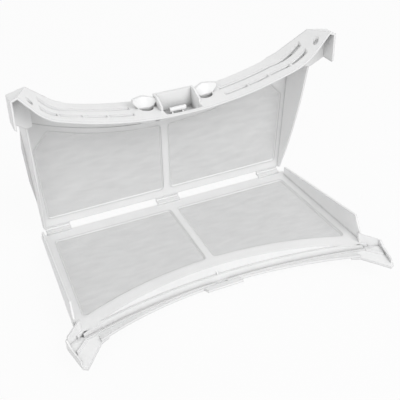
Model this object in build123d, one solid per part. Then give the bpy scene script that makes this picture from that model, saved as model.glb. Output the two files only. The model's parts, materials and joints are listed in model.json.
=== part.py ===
"""Folding lint filter of a tumble dryer: two moulded leaves with filter cloth, joined by a film hinge.

The leaves are drawn folded shut: X runs along the hinge, the back leaf stands in the XZ plane and
forward is -Y. The front leaf is drawn at the folded angle, and both leaves are then opened about
the hinge line, so that walls, rim and ears fit each other when the filter is shut.
"""
from build123d import *

import os
from math import atan, cos, degrees, radians, sin, sqrt, tan

# Driving dimensions, in millimetres and degrees
FOLDED_ANGLE = 21.0           # between the leaves when shut
OPEN_ANGLE = 92.5             # between the leaves as they stand open
HALF_WIDTH_HINGE = 139.0      # outer face of a back wall at the hinge line
WALL_FLARE = 3.3              # outward lean of the side walls
LEAF_THICKNESS = 3.0
SHELL = 2.2                   # wall of the moulded deck, ears and sides
FRONT_OFFSET = 4.0            # the front leaf lies this far outside the hinge line

HINGE_EDGE = 4.5              # hinge line to the nearest edge of each leaf
HINGE_BEAD_RADIUS = 1.4
HINGE_BEAD_CLEARANCE = 0.3
HINGE_WEB_THICKNESS = 1.2
HINGE_WEB_MIDDLE = 13.0       # half length of the middle web
HINGE_WEB_SIDE = 111.0        # where a side web begins
HINGE_WEB_END = 137.0         # and where it ends

SCREEN_THICKNESS = 0.6
SCREEN_GRIP = 2.0             # cloth edge held inside the frame
SCREEN_FIT = 0.05
RIB_HALF_WIDTH = 3.8
WINDOW_SIDE_BAND = 7.0        # frame band between a window and the side of its leaf
WINDOW_ROUND = 4.0

BACK_WINDOW_BOTTOM = 13.3
BACK_WINDOW_TOP = 91.5        # at the middle
BACK_ARC_RADIUS = 340.0
CORNER_CUT_SIDE = 95.0        # height at which the window's cut corner starts
CORNER_CUT_TOP = 121.0        # and the place along the hinge where it ends
FOLD_HEIGHT = 97.0            # where the sloping back of the deck leaves the leaf

DECK_HEIGHT = 131.0           # at the middle, above the hinge
DECK_RADIUS = 370.0
DECK_REAR = 18.0              # forward of the leaf
DECK_FRONT = 60.0
SLOT_WIDTH = 4.5
SLOT_REAR = 31.0              # rear edges of the two air slots
SLOT_FRONT = 45.0
SLOT_INNER = 47.0
SLOT_BEND_INSET = 56.0        # from an ear's outer face to where the slots swing forward and climb the ear
SLOT_REAR_INSET = 27.0        # and to the ends of the slots
SLOT_REAR_SWING = 6.5
SLOT_FRONT_INSET = 26.0
SLOT_FRONT_SWING = 3.0
BRIDGE_FIRST = 72.0
BRIDGE_PITCH = 23.0
BRIDGE_WIDTH = 2.0

WALL_FOOT_DEPTH = 4.0         # forward reach of a back wall at the hinge edge
WALL_MIDDLE_DEPTH = 24.6      # half way up
WALL_TOP_DEPTH = 37.0         # and at its top
WALL_TOP_LIFT = 6.0           # above the deck's middle
WALL_LIP = 2.5                # the leaf's edge stands out behind the walls
WALL_LIP_START = 36.0
WALL_LIP_FULL = 62.0          # its full width runs from here
WALL_LIP_FADE = 100.0         # to here
WALL_LIP_END = 120.0

EAR_TURN = 26.6               # ear's ridge, seen from above, off the fore-and-aft direction
EAR_FOLD_INSET = 29.0         # from an ear's outer face to where the deck's front edge turns up
EAR_FOLD_ROUND = 45.0         # rounding of that turn at the deck's front edge
EAR_FOLD_ROUND_REAR = 28.0    # and at its rear edge
EAR_RIDGE_INSET = 7.0         # to its ridge, at the deck's front edge
EAR_RIDGE_LIFT = 50.0         # above the deck's middle
EAR_RIDGE_FALL = 5.0          # from the front edge to the rear edge
EAR_SHOULDER_LIFT = 46.0
EAR_OUTER = 160.0
EAR_OVERHANG = 14.0           # the ear stands out past the side wall by this much
EAR_UNDERSIDE_LIFT = 9.0      # its lower edge there, above the deck's middle
EAR_UNDERSIDE_RISE = 11.0
EAR_REAR_INSET = 51.0         # to where the deck's rear edge turns towards the ear
EAR_KNEE_INSET = 19.5         # to the knee of its rear wall
EAR_KNEE_DEPTH = 36.5         # forward of the leaf
EAR_OUTER_DEPTH = 43.5
EAR_HOLE_INSET = 17.5         # to its small hole
EAR_HOLE_DEPTH = 52.7
EAR_HOLE_RADIUS = 2.6

GRIP_CENTRE = 31.0            # of a finger grip, along the hinge
GRIP_FOOT_DEPTH = 35.6
GRIP_LEAN = 30.0
GRIP_RISE = 10.5              # above the deck's middle
GRIP_SHOULDER_RISE = 7.5
GRIP_HALF_TOP = 12.6
GRIP_HALF_FOOT = 6.5
GRIP_SAG = 4.0                # hollow of its front face
GRIP_HOLE_RADIUS = 7.0
GRIP_HOLE_REACH = 7.7         # forward of the grip's foot
GRIP_POCKET = 9.0             # depth under the deck

RECESS_HALF_WIDTH = 18.3
RECESS_REAR = 30.0
RECESS_RISE = 10.0            # of its rear wall above the deck's middle
RECESS_SINK = 10.0            # of its floor below the deck's middle
RECESS_SHELF = 42.0           # forward end of its floor
RECESS_CHEEK_BEND = 36.0      # the side walls' top edges fall from here
RECESS_CHEEK_FRONT = 48.0
RECESS_CHEEK_RISE = 4.7
RECESS_CHEEK_SINK = 6.2
FRONT_STRIP = 3.0             # deck left in front of the recess
CATCH_RADIUS = 2.2
CATCH_DEPTH = 39.0
CATCH_LIFT = 5.0              # above the recess floor
CATCH_HALF_WIDTH = 8.5
CATCH_ARM = 2.0

FRONT_WINDOW_BOTTOM = 17.5
FRONT_WINDOW_BAND = 7.0       # frame band between window and rim step
FRONT_ARC_RADIUS = 374.0
NEST_GAP = 1.6                # front walls pass outside the back walls
FRONT_WALL_START = 10.0
FRONT_WALL_FOOT = 10.5        # height of a front wall near the hinge
FRONT_WALL_REACH = 19.0       # of a front wall past the rim step
FRONT_WALL_TOP = 24.5         # and at its outer end
FRONT_TOE_REACH = 28.0        # and of the foot of its slanting end

RIM_GAP = 0.5                 # between the deck's front edge and the shut rim
RIM_PLATE = 2.2
RIM_WIDTH = 7.0               # at the middle
RIM_OUTER_RADIUS = 268.0
RIM_DROP = 16.0               # rim step below the deck's middle, when shut
RIM_LEDGE = 6.0               # step half way between frame and rim plate
RIM_LEDGE_WIDTH = 3.0
RIM_LIP = 1.2
RIM_LIP_INSET = 4.5           # groove between the step and the lip
RIM_GUSSET = 2.0              # thickness of the small brace at the middle
TAB_HALF_WIDTH = 20.8
TAB_TAPER = 2.0
TAB_REACH = 14.5              # past the rim step
TAB_SLOT_LENGTH = 12.0
TAB_SLOT_WIDTH = 3.0
TAB_SLOT_EDGE = 10.0          # tab's outer edge to the slot's middle

CUP_GAP = 1.5                 # front ears stay this far outside the back ears
CUP_ROOT_INSET = 34.0         # from an ear's outer face to where a front ear leaves the rim
CUP_NECK_INSET = 26.0
CUP_NECK_LIFT = 25.5          # above the deck's middle
CUP_CROWN_INSET = 6.3
CUP_CROWN_LIFT = 46.0
CUP_TIP_INSET = 2.0
CUP_TIP_LIFT = 44.0
CUP_BEND_LIFT = 19.0          # from here up a front ear bends away from the deck
CUP_SLOPE = 0.45
CUP_WALL_DEPTH = 17.0         # of the cup's lower wall where it starts
CUP_SIDE_DEPTH = 8.0          # and at its outer side
CUP_CORNER = 3.0              # cut corner, along the hinge
CUP_CORNER_LIFT = 20.0
CUP_WALL_LIFT = 42.0          # end of its outer wall
CUP_WALL_EDGE = 1.2           # thickness there
CUP_WALL_END = 4.0            # and height
CUP_BROW_LIFT = 27.0          # from here on that wall passes in front of the back ear
CUP_BROW = 0.8                # with this clearance
CUP_RIDGE = 1.6               # height of the ridge that carries the rim's lip into a cup
CUP_RIDGE_WIDTH = 2.4
CUP_RIDGE_INSET = 2.5         # its end, from an ear's outer face
CUP_RIDGE_LIFT = 30.0

# Places along the hinge, from the ears' outer faces
SLOT_BEND = EAR_OUTER - SLOT_BEND_INSET
SLOT_REAR_END = EAR_OUTER - SLOT_REAR_INSET
SLOT_FRONT_END = EAR_OUTER - SLOT_FRONT_INSET
EAR_FOLD = EAR_OUTER - EAR_FOLD_INSET
EAR_RIDGE = EAR_OUTER - EAR_RIDGE_INSET
EAR_INNER = EAR_OUTER - EAR_OVERHANG
EAR_REAR_START = EAR_OUTER - EAR_REAR_INSET
EAR_KNEE = EAR_OUTER - EAR_KNEE_INSET
EAR_HOLE = EAR_OUTER - EAR_HOLE_INSET
CUP_ROOT = EAR_OUTER - CUP_ROOT_INSET
CUP_NECK = EAR_OUTER - CUP_NECK_INSET
CUP_CROWN = EAR_OUTER - CUP_CROWN_INSET
CUP_TIP = EAR_OUTER - CUP_TIP_INSET

# Heights above the hinge, from the deck's middle
WALL_TOP_HEIGHT = DECK_HEIGHT + WALL_TOP_LIFT
EAR_RIDGE_HEIGHT = DECK_HEIGHT + EAR_RIDGE_LIFT
EAR_SHOULDER_HEIGHT = DECK_HEIGHT + EAR_SHOULDER_LIFT
EAR_UNDERSIDE = DECK_HEIGHT + EAR_UNDERSIDE_LIFT
GRIP_TOP = DECK_HEIGHT + GRIP_RISE
GRIP_SHOULDER = DECK_HEIGHT + GRIP_SHOULDER_RISE
RECESS_TOP = DECK_HEIGHT + RECESS_RISE
RECESS_FLOOR = DECK_HEIGHT - RECESS_SINK
RECESS_CHEEK_TOP = DECK_HEIGHT + RECESS_CHEEK_RISE
RECESS_CHEEK_FOOT = DECK_HEIGHT - RECESS_CHEEK_SINK
CATCH_HEIGHT = RECESS_FLOOR + CATCH_LIFT
RIM_INNER = DECK_HEIGHT - RIM_DROP
RIM_OUTER = RIM_INNER + RIM_WIDTH
TAB_HEIGHT = RIM_INNER + TAB_REACH
FRONT_WINDOW_TOP = RIM_INNER - FRONT_WINDOW_BAND
FRONT_WALL_END = RIM_INNER + FRONT_WALL_REACH
FRONT_WALL_TOE = RIM_INNER + FRONT_TOE_REACH
CUP_NECK_HEIGHT = DECK_HEIGHT + CUP_NECK_LIFT
CUP_CROWN_HEIGHT = DECK_HEIGHT + CUP_CROWN_LIFT
CUP_TIP_HEIGHT = DECK_HEIGHT + CUP_TIP_LIFT
CUP_BEND = DECK_HEIGHT + CUP_BEND_LIFT
CUP_CORNER_TOP = DECK_HEIGHT + CUP_CORNER_LIFT
CUP_WALL_TOP = DECK_HEIGHT + CUP_WALL_LIFT
CUP_BROW_TOP = DECK_HEIGHT + CUP_BROW_LIFT
CUP_RIDGE_TOP = DECK_HEIGHT + CUP_RIDGE_LIFT

# Derived placing: the filter stands on the front leaf's hinge edge and on the foot of its rim
FOLD = radians(FOLDED_ANGLE)
RIM_FACE = DECK_FRONT + RIM_GAP
RIM_FOOT = RIM_FACE + RIM_PLATE
RIM_EDGE = RIM_INNER - SHELL
HALF_LEAF = LEAF_THICKNESS / 2
RIM_FOOT_DROP = RIM_FOOT * cos(FOLD) - RIM_EDGE * sin(FOLD)
RIM_FOOT_REACH = RIM_FOOT * sin(FOLD) + RIM_EDGE * cos(FOLD)
EDGE_DROP = FRONT_OFFSET + HALF_LEAF
REST_TILT = degrees(atan((RIM_FOOT_DROP - EDGE_DROP) / (RIM_FOOT_REACH - HINGE_EDGE)))
BACK_LEAN = OPEN_ANGLE + REST_TILT - 90
FAR = 400.0                   # reaches past the whole part

BACK = Plane(origin=(0, 0, 0), x_dir=(1, 0, 0), z_dir=(0, -1, 0))
FRONT = Plane(origin=(0, 0, 0), x_dir=(1, 0, 0), z_dir=(0, -cos(FOLD), -sin(FOLD))).offset(FRONT_OFFSET)
SIDE = Plane(origin=(0, 0, 0), x_dir=(0, 1, 0), z_dir=(1, 0, 0))
PLAN = Plane(origin=(0, 0, 0), x_dir=(1, 0, 0), z_dir=(0, 0, -1))


def rise(x, radius):
    """Height of a concave arc above its lowest point, at x from the middle."""
    return radius - sqrt(radius**2 - x**2)


def half_width(along):
    """Half width of the back leaf at a distance from the hinge."""
    return HALF_WIDTH_HINGE + along * tan(radians(WALL_FLARE))


def front_half_width(along):
    return half_width(along) + NEST_GAP + SHELL


def polygon(*points):
    return make_face(Polyline(*points, close=True))


def arc_band(low, high, low_radius, high_radius, half):
    """Strip between two arcs that both sag in the middle."""
    low_end = low + rise(half, low_radius)
    high_end = high + rise(half, high_radius)
    outline = Curve() + [
        ThreePointArc((-half, low_end), (0, low), (half, low_end)),
        Line((half, low_end), (half, high_end)),
        ThreePointArc((half, high_end), (0, high), (-half, high_end)),
        Line((-half, high_end), (-half, low_end)),
    ]
    return make_face(outline)


def prism(plane, face, start, end):
    """Face of the plane, drawn out along its normal between two offsets."""
    return extrude(plane.offset(start) * face, amount=end - start, dir=plane.z_dir)


def both_sides(shape):
    return [shape, mirror(shape, about=Plane.YZ)]


def under_arc(height, radius):
    return arc_band(-FAR, height, radius, radius, FAR / 2)


def leaf_window(bottom, top, radius, width, cut=None):
    """Right-hand window of a leaf, with rounded corners and an optional cut corner."""
    outline = polygon(
        (RIB_HALF_WIDTH, bottom),
        (width(bottom) - WINDOW_SIDE_BAND, bottom),
        (width(FAR) - WINDOW_SIDE_BAND, FAR),
        (RIB_HALF_WIDTH, FAR),
    )
    outline = outline & under_arc(top, radius)
    if cut:
        side, along = cut
        start = (width(side) - WINDOW_SIDE_BAND, side)
        end = (along, top + rise(along, radius))
        outline = outline - polygon(start, end, (along, FAR), (FAR, FAR), (FAR, side))
    return fillet(outline.vertices(), WINDOW_ROUND)


def screens_and_grooves(plane, window):
    """Cloth panes of one leaf and the grooves that hold them."""
    pane = offset(window, amount=SCREEN_GRIP)
    groove = offset(window, amount=SCREEN_GRIP + SCREEN_FIT)
    half = SCREEN_THICKNESS / 2
    panes = both_sides(prism(plane, pane, -half, half))
    grooves = both_sides(prism(plane, groove, -half - SCREEN_FIT, half + SCREEN_FIT))
    return panes, grooves


def plan_prism(face, bottom, top):
    """Face seen from above, in along-hinge and forward distances, drawn between two heights."""
    return prism(PLAN, face, -top, -bottom)


def deck_level(x):
    """Height of the deck's upper face."""
    return DECK_HEIGHT + rise(x, DECK_RADIUS)


def roof_outline(depth, inset):
    """Everything under the deck and both ears, cut across at a distance from the leaf."""
    toward_rear = (DECK_FRONT - depth) / (DECK_FRONT - DECK_REAR)
    shift = (DECK_FRONT - depth) * tan(radians(EAR_TURN))
    fold = EAR_FOLD - shift
    ridge = (EAR_RIDGE - shift, EAR_RIDGE_HEIGHT - toward_rear * EAR_RIDGE_FALL)
    shoulder = (EAR_OUTER + SHELL, EAR_SHOULDER_HEIGHT)
    right = [(fold, deck_level(fold)), ridge, shoulder, (shoulder[0], 0)]
    left = [(-x, height) for x, height in reversed(right)]
    outline = Curve() + [
        ThreePointArc(left[-1], (0, DECK_HEIGHT), right[0]),
        Polyline(*right, *left),
    ]
    face = make_face(outline)
    turns = [corner for corner in face.vertices() if abs(abs(corner.X) - fold) < SCREEN_FIT]
    face = fillet(turns, EAR_FOLD_ROUND + toward_rear * (EAR_FOLD_ROUND_REAR - EAR_FOLD_ROUND))
    if inset:
        face = offset(face, amount=-inset, kind=Kind.INTERSECTION)
    return face


def roof_body(inset, past):
    """Everything under the deck and both ears, running past the deck's edges."""
    ends = (DECK_REAR - past, DECK_FRONT + past)
    return loft([BACK.offset(depth) * roof_outline(depth, inset) for depth in ends], ruled=True)


def ear_slant(x):
    """Forward place of an ear's rear wall, on the straight stretch up to its knee."""
    return DECK_REAR + (x - EAR_REAR_START) * (EAR_KNEE_DEPTH - DECK_REAR) / (EAR_KNEE - EAR_REAR_START)


def ear_plan(inset):
    """Everything inside one ear's rear and outer walls, open towards the front."""
    start = EAR_REAR_START - 2 * inset
    face = polygon(
        (start, ear_slant(start)),
        (EAR_KNEE, EAR_KNEE_DEPTH),
        (EAR_OUTER, EAR_OUTER_DEPTH),
        (EAR_OUTER, FAR),
        (start, FAR),
    )
    if inset:
        face = offset(face, amount=-inset, kind=Kind.INTERSECTION)
    return plan_prism(face, 0, FAR)


def roof_skin(body):
    """Skin of the deck and of both ears' roofs."""
    right = [
        (EAR_REAR_START, DECK_REAR),
        (EAR_KNEE, EAR_KNEE_DEPTH),
        (EAR_OUTER, EAR_OUTER_DEPTH),
        (EAR_OUTER, DECK_FRONT),
    ]
    left = [(-x, depth) for x, depth in reversed(right)]
    reach = plan_prism(polygon(*right, *left), FOLD_HEIGHT, FAR)
    return (body - roof_body(SHELL, SHELL)) & reach


def ear_walls(body):
    """Rear and outer walls of the right-hand ear, and the deck that is left behind them."""
    walls = (body & ear_plan(0)) - ear_plan(SHELL)
    below_deck = prism(BACK, under_arc(DECK_HEIGHT - SHELL / 2, DECK_RADIUS), 0, FAR)
    behind_knee = polygon((0, 0), (EAR_KNEE, 0), (EAR_KNEE, DECK_FRONT), (0, DECK_FRONT))
    walls -= below_deck & plan_prism(behind_knee, 0, FAR)
    underside = polygon(
        (EAR_REAR_START, 0),
        (EAR_REAR_START, EAR_UNDERSIDE),
        (EAR_INNER, EAR_UNDERSIDE),
        (EAR_OUTER, EAR_UNDERSIDE + EAR_UNDERSIDE_RISE),
        (FAR, EAR_UNDERSIDE + EAR_UNDERSIDE_RISE),
        (FAR, 0),
    )
    walls -= prism(BACK, underside, 0, FAR)
    side = half_width(deck_level(EAR_KNEE)) - SHELL / 2
    start = EAR_REAR_START + SHELL
    overlap = SHELL / 2
    shelf = polygon(
        (EAR_REAR_START, DECK_REAR),
        (side, DECK_REAR),
        (side, EAR_KNEE_DEPTH + overlap),
        (EAR_KNEE, EAR_KNEE_DEPTH + overlap),
        (start, ear_slant(start) + overlap),
    )
    skin = arc_band(DECK_HEIGHT - SHELL, DECK_HEIGHT, DECK_RADIUS, DECK_RADIUS, side)
    return walls + (prism(BACK, skin, DECK_REAR, DECK_FRONT) & plan_prism(shelf, 0, FAR))


def back_wall():
    """Right-hand side wall of the back leaf, its front edge bowed."""
    band_top = FOLD_HEIGHT + rise(half_width(FOLD_HEIGHT), BACK_ARC_RADIUS) - SHELL / 2
    foot = (-WALL_FOOT_DEPTH, HINGE_EDGE)
    middle = (-WALL_MIDDLE_DEPTH, (HINGE_EDGE + WALL_TOP_HEIGHT) / 2)
    top = (-WALL_TOP_DEPTH, WALL_TOP_HEIGHT)
    crest = deck_level(half_width(DECK_HEIGHT)) - SHELL / 2
    past_knee = (half_width(EAR_UNDERSIDE) - EAR_KNEE) / (EAR_OUTER - EAR_KNEE)
    ear_depth = EAR_KNEE_DEPTH + past_knee * (EAR_OUTER_DEPTH - EAR_KNEE_DEPTH) + SHELL / 2
    rest = Polyline(
        top,
        (-WALL_TOP_DEPTH, EAR_UNDERSIDE + SHELL),
        (-ear_depth, EAR_UNDERSIDE + SHELL + ear_depth - WALL_TOP_DEPTH),
        (-ear_depth, crest),
        (-DECK_REAR, crest),
        (HALF_LEAF, band_top),
        (HALF_LEAF, HINGE_EDGE),
        foot,
    )
    outline = make_face(Curve() + [ThreePointArc(foot, middle, top), rest])
    wall = prism(SIDE, outline, HALF_WIDTH_HINGE - SHELL, HALF_WIDTH_HINGE)
    return wall.rotate(Axis((HALF_WIDTH_HINGE, 0, 0), (0, 1, 0)), WALL_FLARE)


def wall_lip():
    """Right-hand edge of the leaf that stands out behind the side wall."""
    face = polygon(
        (half_width(WALL_LIP_START) - SHELL, WALL_LIP_START),
        (half_width(WALL_LIP_START), WALL_LIP_START),
        (half_width(WALL_LIP_FULL) + WALL_LIP, WALL_LIP_FULL),
        (half_width(WALL_LIP_FADE) + WALL_LIP, WALL_LIP_FADE),
        (half_width(WALL_LIP_END), WALL_LIP_END),
        (half_width(WALL_LIP_END) - SHELL, WALL_LIP_END),
    )
    return prism(BACK, face, -HALF_LEAF, HALF_LEAF)


def deck_band():
    """Sloping band that joins the leaf to the deck's rear edge."""
    run = DECK_REAR + HALF_LEAF
    step = SHELL * sqrt(run**2 + (DECK_HEIGHT - FOLD_HEIGHT) ** 2) / run
    half = half_width(DECK_HEIGHT) - SHELL / 2
    lower = arc_band(FOLD_HEIGHT - step, FOLD_HEIGHT, BACK_ARC_RADIUS, BACK_ARC_RADIUS, half)
    upper = arc_band(DECK_HEIGHT - step, DECK_HEIGHT, DECK_RADIUS, DECK_RADIUS, half)
    return loft([BACK.offset(-HALF_LEAF) * lower, BACK.offset(DECK_REAR) * upper], ruled=True)


def deck_slot(rear, end, swing):
    """Right-hand air slot that swings forward as it climbs the ear."""
    return polygon(
        (SLOT_INNER, rear),
        (SLOT_BEND, rear),
        (end, rear + swing),
        (end, rear + swing + SLOT_WIDTH),
        (SLOT_BEND, rear + SLOT_WIDTH),
        (SLOT_INNER, rear + SLOT_WIDTH),
    )


def deck_slots():
    """Right-hand air slots, the front one crossed by small bridges, and the hole in the ear."""
    front = deck_slot(SLOT_FRONT, SLOT_FRONT_END, SLOT_FRONT_SWING)
    bridge = BRIDGE_FIRST
    while bridge < SLOT_FRONT_END - BRIDGE_PITCH / 2:
        front -= Pos(bridge, SLOT_FRONT) * Rectangle(BRIDGE_WIDTH, DECK_FRONT)
        bridge += BRIDGE_PITCH
    rear = deck_slot(SLOT_REAR, SLOT_REAR_END, SLOT_REAR_SWING)
    hole = Pos(EAR_HOLE, EAR_HOLE_DEPTH) * Circle(EAR_HOLE_RADIUS)
    bottom = DECK_HEIGHT - SHELL * 2
    return [plan_prism(face, bottom, FAR) for face in list(front.faces()) + [rear, hole]]


def grip_wall():
    """Right-hand finger grip: a hollow-faced wall that leans back and narrows to its foot."""
    lean = radians(GRIP_LEAN)
    foot = deck_level(GRIP_CENTRE) - SHELL / 2
    plane = Plane(
        origin=(GRIP_CENTRE, -GRIP_FOOT_DEPTH, foot), x_dir=(-1, 0, 0), z_dir=(0, sin(lean), cos(lean))
    )
    radius = (GRIP_HALF_TOP**2 + GRIP_SAG**2) / (2 * GRIP_SAG)
    wall = arc_band(-SHELL, 0, radius + SHELL, radius, GRIP_HALF_TOP)
    outline = polygon(
        (GRIP_CENTRE - GRIP_HALF_FOOT, foot),
        (GRIP_CENTRE + GRIP_HALF_FOOT, foot),
        (GRIP_CENTRE + GRIP_HALF_TOP, GRIP_SHOULDER),
        (GRIP_CENTRE + GRIP_HALF_TOP, GRIP_TOP),
        (GRIP_CENTRE, GRIP_TOP),
        (GRIP_CENTRE - GRIP_HALF_TOP, GRIP_SHOULDER),
    )
    return prism(plane, wall, -FAR, FAR) & prism(BACK, outline, 0, DECK_FRONT)


def grip_pocket():
    """Right-hand blind pocket in front of a grip's foot, and the space inside it."""
    circle = Pos(GRIP_CENTRE, GRIP_FOOT_DEPTH + GRIP_HOLE_REACH - GRIP_HOLE_RADIUS) * Circle(GRIP_HOLE_RADIUS)
    behind = Pos(GRIP_CENTRE, GRIP_FOOT_DEPTH - GRIP_HOLE_RADIUS) * Rectangle(DECK_FRONT, 2 * GRIP_HOLE_RADIUS)
    hole = circle - behind
    floor = DECK_HEIGHT - GRIP_POCKET
    cup = plan_prism(offset(hole, amount=SHELL), floor - SHELL, DECK_HEIGHT - SHELL / 2)
    return cup, plan_prism(hole, floor, deck_level(GRIP_CENTRE) + SHELL)


def latch_recess():
    """Box sunk in the middle of the deck, with raised rear and side walls, and the space inside it."""
    outer = RECESS_HALF_WIDTH + SHELL
    rear = RECESS_REAR - SHELL
    side = polygon(
        (-rear, RECESS_FLOOR - SHELL),
        (-rear, RECESS_TOP),
        (-RECESS_CHEEK_BEND, RECESS_TOP),
        (-RECESS_CHEEK_FRONT, RECESS_CHEEK_TOP),
        (-RECESS_CHEEK_FRONT, RECESS_CHEEK_FOOT),
        (-RECESS_SHELF, RECESS_FLOOR - SHELL),
    )
    inner = Pos(0, (RECESS_REAR + DECK_FRONT - FRONT_STRIP) / 2)
    inner *= Rectangle(2 * RECESS_HALF_WIDTH, DECK_FRONT - FRONT_STRIP - RECESS_REAR)
    return prism(SIDE, side, -outer, outer), plan_prism(inner, RECESS_FLOOR, FAR)


def latch_catch():
    """Round bar across the recess, on two arms that rise from its floor."""
    bar = prism(SIDE, Pos(-CATCH_DEPTH, CATCH_HEIGHT) * Circle(CATCH_RADIUS), -CATCH_HALF_WIDTH, CATCH_HALF_WIDTH)
    arm = polygon(
        (CATCH_RADIUS - CATCH_DEPTH, RECESS_FLOOR - SHELL / 2),
        (-CATCH_RADIUS - CATCH_DEPTH, RECESS_FLOOR - SHELL / 2),
        (CATCH_ARM / 2 - CATCH_DEPTH, CATCH_HEIGHT),
    )
    for side in both_sides(prism(SIDE, arm, CATCH_HALF_WIDTH - 2 * CATCH_ARM, CATCH_HALF_WIDTH - CATCH_ARM)):
        bar += side
    return bar


def hinge_spans():
    """Stretches of the hinge line that carry a web, as (start, end)."""
    return [
        (-HINGE_WEB_END, -HINGE_WEB_SIDE),
        (-HINGE_WEB_MIDDLE, HINGE_WEB_MIDDLE),
        (HINGE_WEB_SIDE, HINGE_WEB_END),
    ]


def back_web(start, end):
    """Web that comes down from the back leaf to the hinge bead."""
    tip = HINGE_BEAD_RADIUS + HINGE_BEAD_CLEARANCE
    root = HINGE_EDGE + HINGE_WEB_THICKNESS
    face = polygon((start, tip), (end, tip), (end, root), (start, root))
    return prism(BACK, face, -HALF_LEAF, HINGE_WEB_THICKNESS - HALF_LEAF)


def front_web(start, end):
    """Web of the front leaf, with the bead that it ends in on the hinge line."""
    bead = prism(SIDE, Circle(HINGE_BEAD_RADIUS), start, end)
    root = HINGE_EDGE + HINGE_WEB_THICKNESS
    strip = polygon((start, 0), (end, 0), (end, root), (start, root))
    step = polygon((start, HINGE_EDGE), (end, HINGE_EDGE), (end, root), (start, root))
    level = FRONT.offset(-FRONT_OFFSET)
    return bead + prism(level, strip, 0, HINGE_WEB_THICKNESS) + prism(level, step, 0, FRONT_OFFSET)


def back_leaf():
    """Back frame and its cloth panes, folded shut."""
    window = leaf_window(
        BACK_WINDOW_BOTTOM, BACK_WINDOW_TOP, BACK_ARC_RADIUS, half_width, (CORNER_CUT_SIDE, CORNER_CUT_TOP)
    )
    panes, grooves = screens_and_grooves(BACK, window)
    outline = polygon(
        (-half_width(HINGE_EDGE), HINGE_EDGE),
        (half_width(HINGE_EDGE), HINGE_EDGE),
        (half_width(FAR), FAR),
        (-half_width(FAR), FAR),
    )
    frame = prism(BACK, outline & under_arc(FOLD_HEIGHT, BACK_ARC_RADIUS), -HALF_LEAF, HALF_LEAF)
    for side in both_sides(prism(BACK, window, -LEAF_THICKNESS, LEAF_THICKNESS)):
        frame -= side
    body = roof_body(0, 0)
    frame += deck_band() + roof_skin(body)
    for side in both_sides(back_wall()) + both_sides(wall_lip()) + both_sides(ear_walls(body)):
        frame += side
    for cut in deck_slots():
        for side in both_sides(cut):
            frame -= side
    recess, recess_space = latch_recess()
    pocket, pocket_space = grip_pocket()
    frame += recess
    for side in both_sides(pocket) + both_sides(grip_wall()):
        frame += side
    for space in [recess_space] + both_sides(pocket_space):
        frame -= space
    frame += latch_catch()
    for start, end in hinge_spans():
        frame += back_web(start, end)
    for groove in grooves:
        frame -= groove
    return frame, panes


def front_wall():
    """Right-hand side wall of the front leaf, with its slanting outer end."""
    outline = polygon(
        (FRONT_WALL_START, HALF_LEAF),
        (FRONT_WALL_START, -FRONT_WALL_FOOT),
        (FRONT_WALL_END, -FRONT_WALL_TOP),
        (FRONT_WALL_TOE, -FRONT_WALL_FOOT),
        (FRONT_WALL_TOE, HALF_LEAF),
    )
    base = front_half_width(0)
    plane = Plane(origin=FRONT.origin + Vector(base, 0, 0), x_dir=FRONT.y_dir, z_dir=(1, 0, 0))
    wall = extrude(plane * outline, amount=-SHELL)
    return wall.rotate(Axis(plane.origin, FRONT.z_dir), -WALL_FLARE)


def rim_step():
    """Stepped wall from the front frame down to the rim plate, curved like the deck."""
    outer_frame = prism(FRONT, Rectangle(FAR, FAR), -HALF_LEAF, FAR)
    half = EAR_INNER
    upper_edge = RIM_INNER - RIM_LEDGE_WIDTH
    upper = arc_band(upper_edge - SHELL, upper_edge, DECK_RADIUS, DECK_RADIUS, half)
    lower = arc_band(RIM_EDGE, RIM_INNER, DECK_RADIUS, DECK_RADIUS, half)
    ledge = arc_band(upper_edge - SHELL, RIM_INNER, DECK_RADIUS, DECK_RADIUS, half)
    ledge_at = RIM_FOOT - RIM_LEDGE
    wall = prism(BACK, upper, 0, ledge_at) + prism(BACK, ledge, ledge_at - SHELL, ledge_at)
    wall += prism(BACK, lower, ledge_at - SHELL, RIM_FOOT)
    brace = polygon(
        (SHELL / 2 - ledge_at, upper_edge - SHELL / 2),
        (SHELL / 2 - ledge_at, RIM_INNER - SHELL / 2),
        (SHELL + RIM_LEDGE - ledge_at, upper_edge - SHELL / 2),
    )
    wall += prism(SIDE, brace, -RIM_GUSSET / 2, RIM_GUSSET / 2)
    return wall & outer_frame


def rim_plate():
    """Flat rim with the latch tab, parallel to the back leaf when shut."""
    face = arc_band(RIM_EDGE, RIM_OUTER, DECK_RADIUS, RIM_OUTER_RADIUS, CUP_NECK)
    tab = polygon(
        (-TAB_HALF_WIDTH, RIM_INNER),
        (TAB_HALF_WIDTH, RIM_INNER),
        (TAB_HALF_WIDTH - TAB_TAPER, TAB_HEIGHT),
        (TAB_TAPER - TAB_HALF_WIDTH, TAB_HEIGHT),
    )
    slot = Pos(0, TAB_HEIGHT - TAB_SLOT_EDGE) * Rectangle(TAB_SLOT_LENGTH, TAB_SLOT_WIDTH)
    plate = prism(BACK, face + tab, RIM_FACE, RIM_FOOT)
    lip_foot = RIM_INNER + RIM_LIP_INSET
    lip = arc_band(lip_foot, lip_foot + RIM_LIP, DECK_RADIUS, DECK_RADIUS, EAR_INNER)
    plate += prism(BACK, lip, RIM_FACE - RIM_LIP, RIM_FACE)
    return plate - prism(BACK, slot, RIM_FACE - RIM_PLATE, RIM_FOOT + RIM_PLATE)


def cup_face(height):
    """Forward place of a front ear's inner face, which bends away from the deck."""
    return RIM_FACE + max(0, height - CUP_BEND) * CUP_SLOPE


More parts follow.
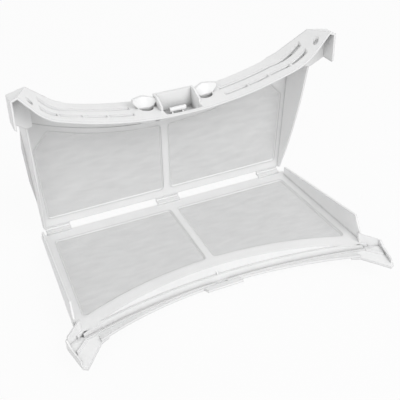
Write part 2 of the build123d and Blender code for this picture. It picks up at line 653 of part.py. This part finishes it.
def front_ear():
    """Right-hand cup that closes round the back ear when shut."""
    wall_x = EAR_OUTER + CUP_GAP
    inner_foot = EAR_UNDERSIDE - CUP_GAP
    outer_foot = inner_foot + EAR_UNDERSIDE_RISE
    corner = wall_x + SHELL - CUP_CORNER
    corner_rise = EAR_UNDERSIDE_RISE * (corner - EAR_INNER) / (wall_x - EAR_INNER)
    outline = polygon(
        (CUP_ROOT, RIM_INNER + rise(CUP_ROOT, DECK_RADIUS)),
        (EAR_INNER, inner_foot - SHELL),
        (corner, inner_foot - SHELL + corner_rise),
        (wall_x + SHELL, CUP_CORNER_TOP),
        (CUP_TIP, CUP_TIP_HEIGHT),
        (CUP_CROWN, CUP_CROWN_HEIGHT),
        (CUP_NECK, CUP_NECK_HEIGHT),
        (CUP_ROOT, RIM_OUTER + rise(CUP_ROOT, RIM_OUTER_RADIUS)),
    )
    top = CUP_CROWN_HEIGHT + SHELL
    slab = polygon(
        (-RIM_FACE, DECK_HEIGHT),
        (-RIM_FACE, CUP_BEND),
        (-cup_face(top), top),
        (-cup_face(top) - RIM_PLATE, top),
        (-RIM_FOOT, CUP_BEND),
        (-RIM_FOOT, DECK_HEIGHT),
    )
    ear = prism(SIDE, slab, 0, FAR)
    bottom = polygon(
        (EAR_INNER, inner_foot),
        (wall_x, outer_foot),
        (wall_x, outer_foot - SHELL),
        (EAR_INNER, inner_foot - SHELL),
    )
    slant = polygon(
        (EAR_INNER, RIM_FOOT - CUP_WALL_DEPTH),
        (wall_x + SHELL, RIM_FOOT - CUP_SIDE_DEPTH),
        (wall_x + SHELL, RIM_FOOT),
        (EAR_INNER, RIM_FOOT),
    )
    ear += prism(BACK, bottom, 0, RIM_FOOT) & plan_prism(slant, 0, FAR)
    half = RIM_PLATE / 2
    side = polygon(
        (-RIM_FACE - half, outer_foot - SHELL),
        (CUP_SIDE_DEPTH - RIM_FOOT, outer_foot - SHELL),
        (CUP_SIDE_DEPTH - RIM_FOOT, CUP_CORNER_TOP),
        (-DECK_FRONT - CUP_BROW, CUP_BROW_TOP),
        (CUP_WALL_END - cup_face(CUP_WALL_TOP), CUP_WALL_TOP),
        (-cup_face(CUP_WALL_TOP) - half, CUP_WALL_TOP),
        (-RIM_FACE - half, CUP_BEND),
    )
    wall = polygon(
        (wall_x, outer_foot - SHELL),
        (wall_x, CUP_CORNER_TOP),
        (CUP_TIP - CUP_WALL_EDGE, CUP_WALL_TOP),
        (wall_x + 2 * SHELL, CUP_WALL_TOP),
        (wall_x + 2 * SHELL, outer_foot - SHELL),
    )
    ear += prism(BACK, wall, 0, FAR) & prism(SIDE, side, 0, FAR)
    lip_height = RIM_INNER + RIM_LIP_INSET + rise(EAR_INNER, DECK_RADIUS) + RIM_LIP / 2
    reach = EAR_OUTER - CUP_RIDGE_INSET
    ridge = polygon(
        (EAR_INNER - RIM_LIP, lip_height - CUP_RIDGE_WIDTH / 2),
        (reach, CUP_RIDGE_TOP - CUP_RIDGE_WIDTH / 2),
        (reach, CUP_RIDGE_TOP + CUP_RIDGE_WIDTH / 2),
        (EAR_INNER - RIM_LIP, lip_height + CUP_RIDGE_WIDTH / 2),
    )
    raised = polygon(
        (CUP_RIDGE - RIM_FACE, DECK_HEIGHT),
        (CUP_RIDGE - RIM_FACE, CUP_BEND),
        (CUP_RIDGE - cup_face(top), top),
        (-cup_face(top) - half, top),
        (-RIM_FACE - half, CUP_BEND),
        (-RIM_FACE - half, DECK_HEIGHT),
    )
    ear += prism(BACK, ridge, 0, FAR) & prism(SIDE, raised, 0, FAR)
    return ear & prism(BACK, outline, 0, FAR)


def front_leaf():
    """Front frame and its cloth panes, folded shut."""
    window = leaf_window(FRONT_WINDOW_BOTTOM, FRONT_WINDOW_TOP, FRONT_ARC_RADIUS, half_width)
    panes, grooves = screens_and_grooves(FRONT, window)
    outline = polygon(
        (-front_half_width(HINGE_EDGE), HINGE_EDGE),
        (front_half_width(HINGE_EDGE), HINGE_EDGE),
        (front_half_width(FAR), FAR),
        (-front_half_width(FAR), FAR),
    )
    inside_rim = prism(BACK, under_arc(RIM_INNER - RIM_LEDGE_WIDTH - SHELL / 2, DECK_RADIUS), -FAR, FAR)
    frame = prism(FRONT, outline, -HALF_LEAF, HALF_LEAF) & inside_rim
    for side in both_sides(prism(FRONT, window, -LEAF_THICKNESS, LEAF_THICKNESS)):
        frame -= side
    frame += rim_step() + rim_plate()
    for side in both_sides(front_wall()) + both_sides(front_ear()):
        frame += side
    for start, end in hinge_spans():
        frame += front_web(start, end)
    for groove in grooves:
        frame -= groove
    return frame, panes


def main():
    os.makedirs("parts", exist_ok=True)
    back_frame, back_panes = back_leaf()
    front_frame, front_panes = front_leaf()
    back_turn = Rot(-BACK_LEAN, 0, 0)
    front_turn = Rot(90 - REST_TILT - FOLDED_ANGLE, 0, 0)
    nodes = {"back_frame": back_turn * back_frame, "front_frame": front_turn * front_frame}
    for side, back_pane, front_pane in zip(("right", "left"), back_panes, front_panes):
        nodes["back_screen_" + side] = back_turn * back_pane
        nodes["front_screen_" + side] = front_turn * front_pane
    # The origin goes to the middle of the footprint, on the floor
    back_box = nodes["back_frame"].bounding_box()
    front_box = nodes["front_frame"].bounding_box()
    to_floor = Pos(0, -(back_box.max.Y + front_box.min.Y) / 2, -front_box.min.Z)
    for name, shape in nodes.items():
        export_step(to_floor * shape, f"parts/{name}.step")
    print("hinge at y %.4f, z %.4f mm" % (to_floor.position.Y, to_floor.position.Z))
    print("lean %.3f, tilt %.3f degrees" % (BACK_LEAN, REST_TILT))


main()
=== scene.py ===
"""Look of the folding lint filter: milky moulded frames and stretched filter cloth."""
import json
import math

import bmesh
import bpy
from mathutils import Matrix, Vector


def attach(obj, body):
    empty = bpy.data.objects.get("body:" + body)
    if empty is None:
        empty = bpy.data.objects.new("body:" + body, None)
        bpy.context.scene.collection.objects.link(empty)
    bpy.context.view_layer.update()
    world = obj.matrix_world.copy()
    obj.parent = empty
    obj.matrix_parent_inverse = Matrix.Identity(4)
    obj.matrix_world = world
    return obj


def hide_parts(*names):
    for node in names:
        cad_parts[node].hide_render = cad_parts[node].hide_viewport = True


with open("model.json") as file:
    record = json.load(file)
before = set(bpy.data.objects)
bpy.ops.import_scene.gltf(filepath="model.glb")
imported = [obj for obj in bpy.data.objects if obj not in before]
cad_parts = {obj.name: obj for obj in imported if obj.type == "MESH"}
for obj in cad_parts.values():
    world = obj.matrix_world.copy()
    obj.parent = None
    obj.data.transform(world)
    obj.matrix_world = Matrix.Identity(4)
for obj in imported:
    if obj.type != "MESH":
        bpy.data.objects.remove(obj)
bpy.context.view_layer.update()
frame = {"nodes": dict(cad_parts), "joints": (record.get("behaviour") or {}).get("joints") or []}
scene = bpy.context.scene
scene.view_settings.view_transform = "Standard"

HINGE = Vector(frame["joints"][0]["pos_m"])

# Lengths are in metres unless a line says otherwise.

# Camera at the photograph's angle, where the filter leans back a little about its hinge
VIEW_AZIMUTH = math.radians(23.21)
VIEW_ELEVATION = math.radians(38.78)
STANDING_TURN = math.radians(-2.34)
VIEW_DISTANCE = 0.796
FOCAL_PIXELS = 726.0
FRAME_PIXELS = 400.0
CENTRE_SHIFT = (33.0, -2.1)           # pixels, right and up
SENSOR_WIDTH = 36.0                   # millimetres
CLIP_START = 0.01

# Both materials: the part of the noise over which a tint goes from dark to light
TINT_SPAN = (0.3, 0.7)
BUMP_DEPTH = 0.0002

# Frame plastic
PLASTIC_DARK = (0.84, 0.842, 0.842)
PLASTIC_LIGHT = (0.885, 0.886, 0.886)
FLOW_SCALE = 26.0                     # faint flow shading
FLOW_DETAIL = 3.0
PLASTIC_ROUGHNESS = (0.30, 0.42)      # follows the flow shading
SKIN_SCALE = 900.0                    # fine moulded skin
SKIN_DETAIL = 2.0
SKIN_STRENGTH = 0.05
SOFT_EDGE = 0.0007                    # radius at which edges catch the light
SOFT_EDGE_SAMPLES = 4
MILKINESS = 0.25
MILK_DEPTH = 0.004
PLASTIC_IOR = 1.49

# Painted shade: deep hollows, creases and edges of the plastic are painted greyer, as in the
# photograph.
# Painted hollow and crease shade: reach, openness where the shade is full, openness where clear,
# darkest painted shade
PAINTED_HOLLOW_SHADE = (0.040, 0.12, 0.45, 0.40)
PAINTED_CREASE_SHADE = (0.007, 0.25, 0.70, 0.72)
PAINTED_SHADE_SAMPLES = 12
# Painted shade along edges: where the surface turns, the plastic's colour is mixed towards a
# darker grey
PAINTED_EDGE_SHADE_WIDTH = 0.0010
PAINTED_EDGE_SHADE_SAMPLES = 6
PAINTED_EDGE_SHADE_TURN = (0.995, 0.85)             # cosines at which the painted edge shade starts and is full
PAINTED_EDGE_SHADE_TONE = (0.55, 0.552, 0.552)
PAINTED_EDGE_SHADE_SHARE = 0.6

# Filter cloth
THREAD_PITCH = 0.0007
THREAD_RISE = 0.35                    # over and under, as a share of a thread's height
HOLE_SPAN = (0.66, 0.50)              # thread heights at which a hole starts and is full
HOLE_CLEARNESS = 0.85
WEAVE_STRENGTH = 0.5
CLOTH_DARK = (0.615, 0.617, 0.617)
CLOTH_LIGHT = (0.695, 0.697, 0.697)
CLOTH_ROUGHNESS = 0.55
STREAK_SCALE = 45.0                   # faint streaks cross the cloth at a slant
STREAK_DETAIL = 4.0
STREAK_TURN = 0.5
STREAK_STRETCH = 3.5
NET_CELL = 0.008
CLOTH_SAG = 0.0003

# The CAD pane under the cloth: points to weld, faces to keep, flat edges to dissolve
WELD_DISTANCE = 1e-6
SAME_FACING = 0.99
FLAT_ANGLE = 0.01

# Sloping border round each window
BEAD_START = 0.0019                   # in from the cloth's edge
BEAD_END = 0.0033
BEAD_HALF = 0.0013                    # half height at the frame
BEAD_TOE = 0.0002                     # and at the cloth

# Stage: a grey floor that shows almost white, and the light that the white room gives
FLOOR_SIZE = 8.0
FLOOR_GREY = 0.60
FLOOR_ROUGHNESS = 0.9
FLOOR_WHITE = 0.94
ROOM_LIGHT = 0.62
LAMP_SIZE = 1.2
LAMPS = (
    ("key", (0.62, -1.02, 1.37), 13.4),   # name, place, watts
    ("fill", (-1.1, -0.9, 1.0), 4.8),
)


def add_camera():
    """Camera on the line from the hinge's middle towards the photographer."""
    away = Vector(
        (
            -math.sin(VIEW_AZIMUTH) * math.cos(VIEW_ELEVATION),
            -math.cos(VIEW_AZIMUTH) * math.cos(VIEW_ELEVATION),
            math.sin(VIEW_ELEVATION),
        )
    )
    right = Vector((math.cos(VIEW_AZIMUTH), -math.sin(VIEW_AZIMUTH), 0))
    up = away.cross(right)
    turn = Matrix.Rotation(STANDING_TURN, 3, "X")
    right, up, away = turn @ right, turn @ up, turn @ away
    data = bpy.data.cameras.new("camera")
    data.sensor_width = SENSOR_WIDTH
    data.lens = data.sensor_width * FOCAL_PIXELS / FRAME_PIXELS
    data.shift_x = CENTRE_SHIFT[0] / FRAME_PIXELS
    data.shift_y = CENTRE_SHIFT[1] / FRAME_PIXELS
    data.clip_start = CLIP_START
    camera = bpy.data.objects.new("camera", data)
    place = Matrix((right, up, away)).transposed().to_4x4()
    place.translation = HINGE + away * VIEW_DISTANCE
    camera.matrix_world = place
    scene.collection.objects.link(camera)
    scene.camera = camera


def new_material(name):
    """Material with nodes: the material, its node tree and its main shader."""
    material = bpy.data.materials.new(name)
    material.use_nodes = True
    tree = material.node_tree
    return material, tree, tree.nodes["Principled BSDF"]


def feed(tree, node, inputs):
    """Give each input of a node, by name or number, a link from a socket or a plain value."""
    for key, value in inputs.items():
        if isinstance(value, bpy.types.NodeSocket):
            tree.links.new(value, node.inputs[key])
        else:
            node.inputs[key].default_value = value


def math_node(tree, operation, *values):
    """Math node fed by sockets or plain numbers; returns its output."""
    node = tree.nodes.new("ShaderNodeMath")
    node.operation = operation
    feed(tree, node, dict(enumerate(values)))
    return node.outputs[0]


def map_range(tree, value, source, target):
    """Value carried from the source span to the target span, and kept inside it."""
    node = tree.nodes.new("ShaderNodeMapRange")
    ends = {"From Min": source[0], "From Max": source[1], "To Min": target[0], "To Max": target[1]}
    feed(tree, node, {"Value": value, **ends})
    return node.outputs["Result"]


def noise(tree, place, scale, detail):
    node = tree.nodes.new("ShaderNodeTexNoise")
    feed(tree, node, {"Vector": place, "Scale": scale, "Detail": detail})
    return node.outputs["Fac"]


def tint(tree, value, dark, light):
    """Colour between dark and light, by a noise value."""
    node = tree.nodes.new("ShaderNodeValToRGB")
    for stop, position, tone in zip(node.color_ramp.elements, TINT_SPAN, (dark, light)):
        stop.position = position
        stop.color = (*tone, 1)
    feed(tree, node, {"Fac": value})
    return node.outputs["Color"]


def rounded_normal(tree, radius, samples):
    """Normal of the surface as if its edges were rounded."""
    node = tree.nodes.new("ShaderNodeBevel")
    node.samples = samples
    feed(tree, node, {"Radius": radius})
    return node.outputs["Normal"]


def bumped_normal(tree, height, strength, **base):
    """Normal of the surface with a fine relief, on a base normal where one is given."""
    node = tree.nodes.new("ShaderNodeBump")
    feed(tree, node, {"Height": height, "Strength": strength, "Distance": BUMP_DEPTH, **base})
    return node.outputs["Normal"]


def show_mixed(tree, share, first, second):
    """Make the material's surface a mix: this share of the second shader, the rest the first."""
    mix = tree.nodes.new("ShaderNodeMixShader")
    feed(tree, mix, {"Fac": share, 1: first, 2: second})
    tree.links.new(mix.outputs["Shader"], tree.nodes["Material Output"].inputs["Surface"])


def painted_shade_where_enclosed(tree, reach, closed, open_at, shade):
    """Painted shade factor: 1 where a surface lies open within reach, falling to shade where it is
    closed in.
    """
    around = tree.nodes.new("ShaderNodeAmbientOcclusion")
    around.samples = PAINTED_SHADE_SAMPLES
    around.only_local = True
    feed(tree, around, {"Distance": reach})
    return map_range(tree, around.outputs["AO"], (closed, open_at), (shade, 1.0))


def frame_plastic():
    """Natural polypropylene: white, slightly milky, with faint flow shading and a fine skin;
    painted shade darkens its hollows, creases and edges.
    """
    material, tree, shader = new_material("frame_plastic")
    place = tree.nodes.new("ShaderNodeTexCoord").outputs["Object"]
    flow = noise(tree, place, FLOW_SCALE, FLOW_DETAIL)

    # Painted shade: the plastic's colour is darkened in hollows and creases, by how closed in they
    # are
    painted_shade = math_node(tree, "MULTIPLY", painted_shade_where_enclosed(tree, *PAINTED_HOLLOW_SHADE), painted_shade_where_enclosed(tree, *PAINTED_CREASE_SHADE))
    tint_with_painted_shade = tree.nodes.new("ShaderNodeVectorMath")
    tint_with_painted_shade.operation = "SCALE"
    feed(tree, tint_with_painted_shade, {0: tint(tree, flow, PLASTIC_DARK, PLASTIC_LIGHT), "Scale": painted_shade})

    # Painted shade: edges are tinted darker grey where the surface turns
    surface = tree.nodes.new("ShaderNodeNewGeometry").outputs["Normal"]
    flatness = tree.nodes.new("ShaderNodeVectorMath")
    flatness.operation = "DOT_PRODUCT"
    feed(tree, flatness, {0: surface, 1: rounded_normal(tree, PAINTED_EDGE_SHADE_WIDTH, PAINTED_EDGE_SHADE_SAMPLES)})
    edge = map_range(tree, flatness.outputs["Value"], PAINTED_EDGE_SHADE_TURN, (0.0, PAINTED_EDGE_SHADE_SHARE))
    tint_with_edge_shade = tree.nodes.new("ShaderNodeMix")
    tint_with_edge_shade.data_type = "RGBA"
    feed(tree, tint_with_edge_shade, {"Factor": edge, "A": tint_with_painted_shade.outputs["Vector"], "B": (*PAINTED_EDGE_SHADE_TONE, 1)})

    skin = noise(tree, place, SKIN_SCALE, SKIN_DETAIL)
    soft = rounded_normal(tree, SOFT_EDGE, SOFT_EDGE_SAMPLES)
    looks = {
        "Base Color": tint_with_edge_shade.outputs["Result"],
        "Roughness": map_range(tree, flow, (0.0, 1.0), PLASTIC_ROUGHNESS),
        "Normal": bumped_normal(tree, skin, SKIN_STRENGTH, Normal=soft),
        "Subsurface Weight": MILKINESS,
        "Subsurface Radius": (MILK_DEPTH, MILK_DEPTH, MILK_DEPTH),
        "Subsurface Scale": 1.0,
        "IOR": PLASTIC_IOR,
    }
    feed(tree, shader, looks)
    return material


def filter_cloth():
    """Fine plain weave of clear thread that passes over and under, with open holes between."""
    material, tree, shader = new_material("filter_cloth")
    place = tree.nodes.new("ShaderNodeUVMap").outputs["UV"]
    parts = tree.nodes.new("ShaderNodeSeparateXYZ")
    feed(tree, parts, {"Vector": place})
    waves = []
    for axis in ("X", "Y"):
        angle = math_node(tree, "MULTIPLY", parts.outputs[axis], math.pi / THREAD_PITCH)
        waves.append(math_node(tree, "SINE", angle))
    warp, weft = (math_node(tree, "ABSOLUTE", wave) for wave in waves)
    thread = math_node(tree, "MAXIMUM", warp, weft)
    lift = math_node(tree, "MULTIPLY", *waves)
    height = math_node(tree, "MULTIPLY_ADD", lift, THREAD_RISE, thread)
    hole = map_range(tree, thread, HOLE_SPAN, (0.0, HOLE_CLEARNESS))

    slant = tree.nodes.new("ShaderNodeMapping")
    turn, stretch = (0, 0, STREAK_TURN), (1.0, STREAK_STRETCH, 1.0)
    feed(tree, slant, {"Vector": place, "Rotation": turn, "Scale": stretch})
    streaks = noise(tree, slant.outputs["Vector"], STREAK_SCALE, STREAK_DETAIL)
    looks = {
        "Base Color": tint(tree, streaks, CLOTH_DARK, CLOTH_LIGHT),
        "Roughness": CLOTH_ROUGHNESS,
        "Normal": bumped_normal(tree, height, WEAVE_STRENGTH),
    }
    feed(tree, shader, looks)
    clear = tree.nodes.new("ShaderNodeBsdfTransparent").outputs["BSDF"]
    show_mixed(tree, hole, shader.outputs["BSDF"], clear)
    return material


def add_piece(name, mesh, material):
    """Object made of a working mesh, which is freed."""
    data = bpy.data.meshes.new(name)
    mesh.to_mesh(data)
    mesh.free()
    data.materials.append(material)
    piece = bpy.data.objects.new(name, data)
    scene.collection.objects.link(piece)
    return piece


def inset(mesh, faces, thickness):
    """Draw the faces in from their border; returns the ring of new faces round them."""
    made = bmesh.ops.inset_region(
        mesh, faces=faces, thickness=thickness, use_even_offset=True, use_boundary=True
    )
    return made["faces"]


def add_bead(node, outline, normal, body):
    """Moulded border that slopes from the frame's faces down to the cloth, round its window."""
    outer = inset(outline, outline.faces[:], BEAD_START)
    pane = [face for face in outline.faces if face not in outer]
    ring = inset(outline, pane, BEAD_END - BEAD_START)
    inner = {vertex for face in pane for vertex in face.verts}
    solid = bmesh.new()
    copies = {}
    for vertex in sorted({v for face in ring for v in face.verts}, key=lambda v: tuple(v.co)):
        half = normal * (BEAD_TOE if vertex in inner else BEAD_HALF)
        copies[vertex] = solid.verts.new(vertex.co + half), solid.verts.new(vertex.co - half)
    for face in ring:
        solid.faces.new([copies[v][0] for v in face.verts])
        solid.faces.new([copies[v][1] for v in reversed(face.verts)])
        for edge in face.edges:
            if sum(other in ring for other in edge.link_faces) == 1:
                a, b = edge.verts
                solid.faces.new([copies[a][0], copies[b][0], copies[b][1], copies[a][1]])
    bmesh.ops.recalc_face_normals(solid, faces=solid.faces)
    outline.free()
    bead = add_piece(node.name + "_bead", solid, PLASTIC)
    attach(bead, body)


def add_screen(node, body):
    """Cloth stretched in the middle of its CAD pane, as a fine net that sags a little."""
    mesh = bmesh.new()
    mesh.from_mesh(node.data)
    bmesh.ops.remove_doubles(mesh, verts=mesh.verts, dist=WELD_DISTANCE)
    normal = max(mesh.faces, key=lambda face: face.calc_area()).normal.copy()
    if normal.z < 0:
        normal.negate()
    levels = [normal.dot(v.co) for v in mesh.verts]
    thickness = max(levels) - min(levels)
    rest = [face for face in mesh.faces if face.normal.dot(normal) < SAME_FACING]
    bmesh.ops.delete(mesh, geom=rest, context="FACES")
    along = Vector((1, 0, 0))
    across = normal.cross(along)
    for vertex in mesh.verts:
        vertex.co -= normal * thickness / 2
    bmesh.ops.dissolve_limit(
        mesh, angle_limit=FLAT_ANGLE, verts=mesh.verts, edges=mesh.edges
    )
    add_bead(node, mesh.copy(), normal, body)

    spans = []
    for direction in (along, across):
        reach = [direction.dot(v.co) for v in mesh.verts]
        low, high = min(reach), max(reach)
        spans.append((low, high))
        count = round((high - low) / NET_CELL)
        for step in range(1, count):
            level = normal * normal.dot(mesh.verts[:][0].co)
            point = direction * (low + (high - low) * step / count) + level
            everything = mesh.verts[:] + mesh.edges[:] + mesh.faces[:]
            bmesh.ops.bisect_plane(mesh, geom=everything, plane_co=point, plane_no=direction)
    area = sum(face.calc_area() for face in mesh.faces)
    layer = mesh.loops.layers.uv.new("threads")
    for face in mesh.faces:
        face.smooth = True
        for loop in face.loops:
            loop[layer].uv = (along.dot(loop.vert.co), across.dot(loop.vert.co))
    for vertex in mesh.verts:
        bow = 1.0
        for direction, (low, high) in zip((along, across), spans):
            bow *= math.sin(math.pi * (direction.dot(vertex.co) - low) / (high - low))
        vertex.co -= normal * CLOTH_SAG * bow
    cloth = add_piece(node.name + "_cloth", mesh, CLOTH)
    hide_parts(node.name)
    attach(cloth, body)


def seen_ray(tree):
    """1 for rays that show the background, 0 for rays that carry its light."""
    rays = tree.nodes.new("ShaderNodeLightPath").outputs
    direct = math_node(tree, "MAXIMUM", rays["Is Camera Ray"], rays["Is Glossy Ray"])
    return math_node(tree, "MAXIMUM", direct, rays["Is Transmission Ray"])


def add_floor():
    """Plain floor that shows almost white and keeps a faint shadow of the filter."""
    bpy.ops.mesh.primitive_plane_add(size=FLOOR_SIZE, location=(0, 0, 0))
    floor = bpy.context.object
    floor.name = "floor"
    material, tree, shader = new_material("floor")
    looks = {
        "Base Color": (FLOOR_GREY, FLOOR_GREY, FLOOR_GREY, 1),
        "Roughness": FLOOR_ROUGHNESS,
        "Specular IOR Level": 0.0,
    }
    feed(tree, shader, looks)
    white = tree.nodes.new("ShaderNodeEmission").outputs["Emission"]
    seen = math_node(tree, "MULTIPLY", seen_ray(tree), FLOOR_WHITE)
    show_mixed(tree, seen, shader.outputs["BSDF"], white)
    floor.data.materials.append(material)


def add_light(name, place, power):
    """Large round lamp that faces the hinge."""
    data = bpy.data.lights.new(name, "AREA")
    data.shape = "DISK"
    data.size = LAMP_SIZE
    data.energy = power
    lamp = bpy.data.objects.new(name, data)
    lamp.location = place
    lamp.rotation_euler = (HINGE - Vector(place)).to_track_quat("-Z", "Y").to_euler()
    scene.collection.objects.link(lamp)


def add_world():
    """White room: it shows white, and lights the filter with less than that."""
    world = bpy.data.worlds.new("world")
    world.use_nodes = True
    tree = world.node_tree
    strength = math_node(tree, "MULTIPLY_ADD", seen_ray(tree), 1.0 - ROOM_LIGHT, ROOM_LIGHT)
    feed(tree, tree.nodes["Background"], {"Color": (1, 1, 1, 1), "Strength": strength})
    scene.world = world


add_camera()

PLASTIC = frame_plastic()
CLOTH = filter_cloth()
for leaf in ("front", "back"):
    moulding = frame["nodes"][leaf + "_frame"]
    moulding.data.materials.clear()
    moulding.data.materials.append(PLASTIC)
    for side in ("left", "right"):
        add_screen(frame["nodes"][f"{leaf}_screen_{side}"], leaf + "_leaf")

add_floor()
for lamp_name, lamp_place, lamp_power in LAMPS:
    add_light(lamp_name, lamp_place, lamp_power)
add_world()
